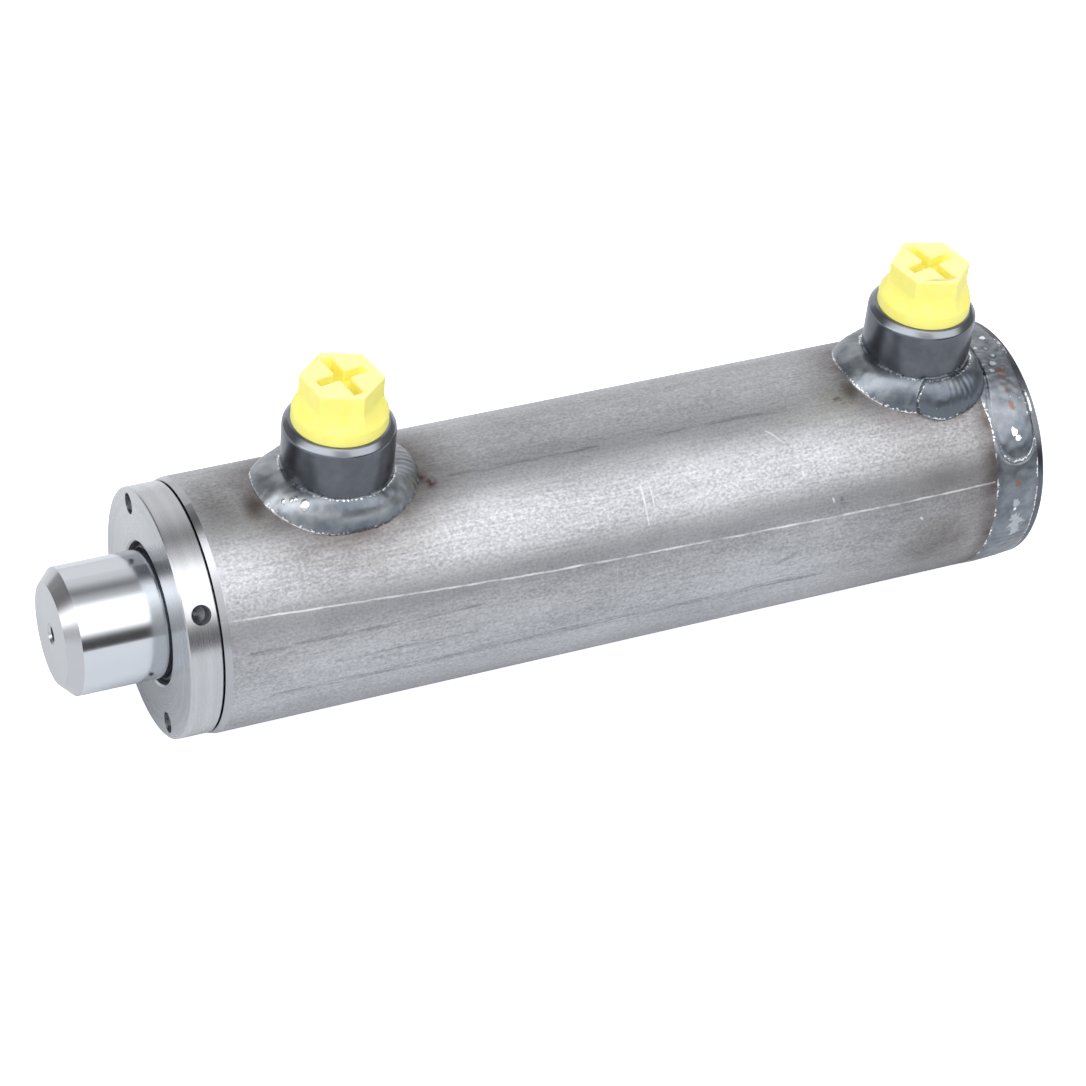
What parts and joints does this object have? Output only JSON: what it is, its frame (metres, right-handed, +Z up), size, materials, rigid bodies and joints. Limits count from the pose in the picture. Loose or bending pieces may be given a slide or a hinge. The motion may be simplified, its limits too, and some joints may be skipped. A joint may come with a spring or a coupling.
{
  "type": "double-acting hydraulic cylinder",
  "caption": "Welded double-acting hydraulic cylinder with a round barrel, chromed rod, screwed gland and two capped ports, for pushing and pulling loads.",
  "frame": {"origin": "centre of the base's flat rear face, on the cylinder's axis", "axes": "+X along the axis from the base to the rod's end, the way the rod moves out; +Z up through the ports"},
  "size_m": [0.242, 0.0606, 0.0883],
  "materials": {
    "drawn_steel": "raw cold-drawn tube, satin, with lengthwise drawing lines and brown heat tint by the welds",
    "turned_steel": "fine turned, bright",
    "dark_steel": "heat-darkened turned steel",
    "weld_metal": "weld bead, rippled, blue-grey",
    "hard_chrome": "ground and hard-chromed, mirror bright",
    "yellow_polythene": "moulded, waxy half gloss",
    "nitrile_rubber": "moulded, satin",
    "polyurethane": "moulded, satin",
    "guide_plastic": "filled plastic, matt"
  },
  "bodies": {
    "barrel": {"barrel_tube": "drawn_steel", "base_cap": "turned_steel", "base_weld": "weld_metal", "rod_port_boss": "dark_steel", "rod_port_weld": "weld_metal", "base_port_boss": "dark_steel", "base_port_weld": "weld_metal", "gland": "turned_steel", "gland_o_ring": "nitrile_rubber", "gland_backup_ring": "guide_plastic", "rod_guide_ring_inner": "guide_plastic", "rod_guide_ring_outer": "guide_plastic", "rod_seal": "polyurethane", "rod_wiper": "polyurethane"},
    "piston_seals": {"piston_seal": "nitrile_rubber", "piston_backup_ring_rear": "polyurethane", "piston_backup_ring_front": "polyurethane", "piston_guide_ring_rear": "guide_plastic", "piston_guide_ring_front": "guide_plastic"},
    "rod": {"piston_rod": "hard_chrome", "piston": "turned_steel", "piston_rod_o_ring": "nitrile_rubber", "piston_nut": "turned_steel", "nut_locking_insert": "guide_plastic"},
    "rod_port_plug": {"rod_port_plug": "yellow_polythene"},
    "base_port_plug": {"base_port_plug": "yellow_polythene"}
  },
  "joints": [
    {"name": "rod_slide", "type": "slide", "parent": "barrel", "child": "piston_seals", "axis": [1, 0, 0], "range_m": [0, 0.1]},
    {"name": "rod_turn", "type": "hinge", "parent": "piston_seals", "child": "rod", "pos_m": [0.05, 0, 0], "axis": [1, 0, 0], "continuous": true},
    {"name": "rod_port_plug_unscrew", "type": "slide", "parent": "barrel", "child": "rod_port_plug", "axis": [0, 0, 1], "range_m": [0, 0.02]},
    {"name": "base_port_plug_unscrew", "type": "slide", "parent": "barrel", "child": "base_port_plug", "axis": [0, 0, 1], "range_m": [0, 0.02]}
  ]
}
